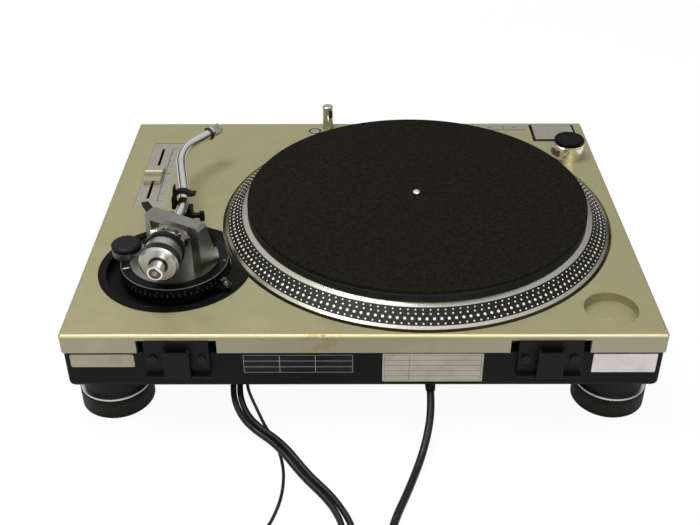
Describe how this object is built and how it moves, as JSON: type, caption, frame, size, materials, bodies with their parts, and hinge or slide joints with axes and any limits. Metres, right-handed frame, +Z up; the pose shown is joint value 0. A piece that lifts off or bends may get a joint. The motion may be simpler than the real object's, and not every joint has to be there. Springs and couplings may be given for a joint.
{
  "type": "direct-drive turntable",
  "caption": "Direct-drive record player with S-shaped tonearm, pitch slider, felt slipmat, rubber base on levelling feet, lid hinge sockets and coiled mains, signal and ground cords.",
  "frame": {"origin": "under the middle of the case's box at floor level, hinge sockets included and free cords left out", "axes": "+X to the right as seen from the front, with the tonearm on the +X side; +Y to the back; +Z up"},
  "size_m": [0.453, 0.6725, 0.1375],
  "materials": {
    "black_base": "dense moulded rubber, matt",
    "black_metal": "satin black",
    "black_plastic": "matt",
    "black_plate": "blank plate",
    "brass_tip": "plated",
    "bright_metal": "bright plated",
    "champagne": "fine satin, champagne tint",
    "copper_iron": "laminations and windings",
    "cord_black": "smooth jacket",
    "felt": "pressed felt",
    "gloss_black": "polished",
    "green_board": "lacquered board",
    "paper_label": "blank printed label stock",
    "red_window": "clear red",
    "rubber": "moulded, fine knurl",
    "silver": "machined and lightly polished",
    "steel": "ground"
  },
  "bodies": {
    "case": {"cabinet_top": "champagne", "cabinet_base": "black_base", "bottom_cover": "black_base", "case_screws": "steel", "transformer": "copper_iron", "circuit_board": "green_board", "motor_stator": "copper_iron", "spindle_bearing": "brass_tip", "hinge_socket_left": "black_plastic", "hinge_socket_right": "black_plastic", "rating_panel": "black_plate", "rear_labels": "paper_label", "power_post": "silver", "strobe_window": "red_window", "pitch_panel": "silver", "arm_base": "black_metal", "cord_glands": "rubber", "foot_cups": "black_plastic", "foot_trims": "silver", "mains_lead": "cord_black", "mains_coil": "cord_black", "mains_plug": "cord_black", "phono_leads": "cord_black", "phono_coils": "cord_black", "phono_plugs": "brass_tip", "ground_lead": "cord_black", "ground_coil": "cord_black", "ground_lug": "brass_tip"},
    "platter": {"platter": "silver", "rubber_mat": "rubber", "spindle": "steel", "rotor_magnet": "copper_iron"},
    "slipmat": {"slipmat": "felt"},
    "foot_front_left": {"foot_front_left": "rubber"},
    "foot_front_right": {"foot_front_right": "rubber"},
    "foot_rear_left": {"foot_rear_left": "rubber"},
    "foot_rear_right": {"foot_rear_right": "rubber"},
    "height_ring": {"height_ring": "black_metal"},
    "lock_lever": {"lock_lever": "gloss_black"},
    "arm_pedestal": {"arm_pedestal": "silver", "arm_bridge": "silver", "cue_bracket": "black_metal", "arm_rest": "black_metal", "arm_wire": "rubber"},
    "antiskate_knob": {"antiskate_knob": "black_plastic"},
    "cue_lever": {"cue_lever": "black_metal"},
    "lift_bar": {"lift_bar": "black_plastic"},
    "arm_clip": {"arm_clip": "black_plastic"},
    "gimbal": {"gimbal_ring": "bright_metal"},
    "arm": {"arm_tube": "bright_metal"},
    "lock_collar": {"lock_collar": "bright_metal"},
    "counterweight": {"counterweight": "silver"},
    "weight_dial": {"weight_dial": "black_plastic"},
    "slider_knob": {"slider_knob": "silver"},
    "start_button": {"start_button": "silver"},
    "speed_button_slow": {"speed_button_slow": "silver"},
    "speed_button_fast": {"speed_button_fast": "silver"},
    "power_knob": {"power_knob": "black_metal"},
    "target_lamp": {"target_lamp": "silver"},
    "lamp_button": {"lamp_button": "silver"}
  },
  "joints": [
    {"name": "platter_spin", "type": "hinge", "parent": "case", "child": "platter", "pos_m": [-0.0473, 0.0018, 0.099], "axis": [0, 0, 1], "continuous": true},
    {"name": "slipmat_slip", "type": "hinge", "parent": "platter", "child": "slipmat", "pos_m": [-0.0473, 0.0018, 0.106], "axis": [0, 0, 1], "continuous": true},
    {"name": "arm_height", "type": "slide", "parent": "case", "child": "arm_pedestal", "axis": [0, 0, 1], "range_m": [0, 0.006]},
    {"name": "ring_turn", "type": "hinge", "parent": "case", "child": "height_ring", "pos_m": [0.1518, 0.083, 0.091], "axis": [0, 0, 1], "range_deg": [0, 120]},
    {"name": "lock_turn", "type": "hinge", "parent": "case", "child": "lock_lever", "pos_m": [0.11026, 0.10603, 0.0895], "axis": [0, 0, 1], "range_deg": [-25, 10]},
    {"name": "arm_swing", "type": "hinge", "parent": "arm_pedestal", "child": "gimbal", "pos_m": [0.1518, 0.083, 0.1195], "axis": [0, 0, 1], "range_deg": [-46, 0]},
    {"name": "arm_pitch", "type": "hinge", "parent": "gimbal", "child": "arm", "pos_m": [0.1518, 0.083, 0.1195], "axis": [-0.9968, 0.0802, 0], "range_deg": [-0.6, 2]},
    {"name": "weight_slide", "type": "slide", "parent": "arm", "child": "counterweight", "axis": [0.0802, 0.9967, -0.014], "range_m": [-0.002, 0.0105]},
    {"name": "dial_turn", "type": "hinge", "parent": "counterweight", "child": "weight_dial", "pos_m": [0.1518, 0.083, 0.1195], "axis": [-0.0802, -0.9967, 0.014], "continuous": true},
    {"name": "collar_turn", "type": "hinge", "parent": "arm", "child": "lock_collar", "pos_m": [0.14239, -0.08627, 0.12187], "axis": [-0.5886, -0.8084, 0.0119], "range_deg": [0, 60]},
    {"name": "antiskate_turn", "type": "hinge", "parent": "arm_pedestal", "child": "antiskate_knob", "pos_m": [0.1913, 0.0753, 0.101], "axis": [0, 0, 1], "range_deg": [0, 270]},
    {"name": "cue_turn", "type": "hinge", "parent": "arm_pedestal", "child": "cue_lever", "pos_m": [0.1702, 0.03738, 0.1025], "axis": [-0.9968, 0.0802, 0], "range_deg": [0, 60]},
    {"name": "lift_rise", "type": "slide", "parent": "arm_pedestal", "child": "lift_bar", "axis": [0, 0, 1], "range_m": [0, 0.0035], "stiffness_N_per_m": 0.01, "springref_m": 0.6179},
    {"name": "clip_turn", "type": "hinge", "parent": "arm_pedestal", "child": "arm_clip", "pos_m": [0.15691, 0.03182, 0.11501], "axis": [0.0802, 0.9968, 0], "range_deg": [0, 80]},
    {"name": "slider_slide", "type": "slide", "parent": "case", "child": "slider_knob", "axis": [0, 1, 0], "range_m": [-0.05, 0.036]},
    {"name": "start_press", "type": "slide", "parent": "case", "child": "start_button", "axis": [0, 0, -1], "range_m": [0, 0.0015], "stiffness_N_per_m": 900},
    {"name": "speed_slow_press", "type": "slide", "parent": "case", "child": "speed_button_slow", "axis": [0, 0, -1], "range_m": [0, 0.0012], "stiffness_N_per_m": 700},
    {"name": "speed_fast_press", "type": "slide", "parent": "case", "child": "speed_button_fast", "axis": [0, 0, -1], "range_m": [0, 0.0012], "stiffness_N_per_m": 700},
    {"name": "lamp_press", "type": "slide", "parent": "case", "child": "lamp_button", "axis": [0, 0, -1], "range_m": [0, 0.001], "stiffness_N_per_m": 700},
    {"name": "lamp_sink", "type": "slide", "parent": "case", "child": "target_lamp", "axis": [0, 0, -1], "range_m": [0, 0.022]},
    {"name": "power_turn", "type": "hinge", "parent": "case", "child": "power_knob", "pos_m": [-0.2004, -0.1073, 0.1], "axis": [0, 0, 1], "range_deg": [0, 40]},
    {"name": "turn_foot_front_left", "type": "hinge", "parent": "case", "child": "foot_front_left", "pos_m": [-0.1977, -0.1475, 0.01], "axis": [0, 0, 1], "range_deg": [-180, 180]},
    {"name": "turn_foot_front_right", "type": "hinge", "parent": "case", "child": "foot_front_right", "pos_m": [0.1977, -0.1475, 0.01], "axis": [0, 0, 1], "range_deg": [-180, 180]},
    {"name": "turn_foot_rear_left", "type": "hinge", "parent": "case", "child": "foot_rear_left", "pos_m": [-0.1977, 0.1405, 0.01], "axis": [0, 0, 1], "range_deg": [-180, 180]},
    {"name": "turn_foot_rear_right", "type": "hinge", "parent": "case", "child": "foot_rear_right", "pos_m": [0.1977, 0.1405, 0.01], "axis": [0, 0, 1], "range_deg": [-180, 180]}
  ],
  "couplings": [
    {"joint": "ring_turn", "follows": "arm_height", "rad_per_m": 349.07},
    {"joint": "lift_rise", "follows": "cue_turn", "m_per_rad": 0.0033423}
  ]
}
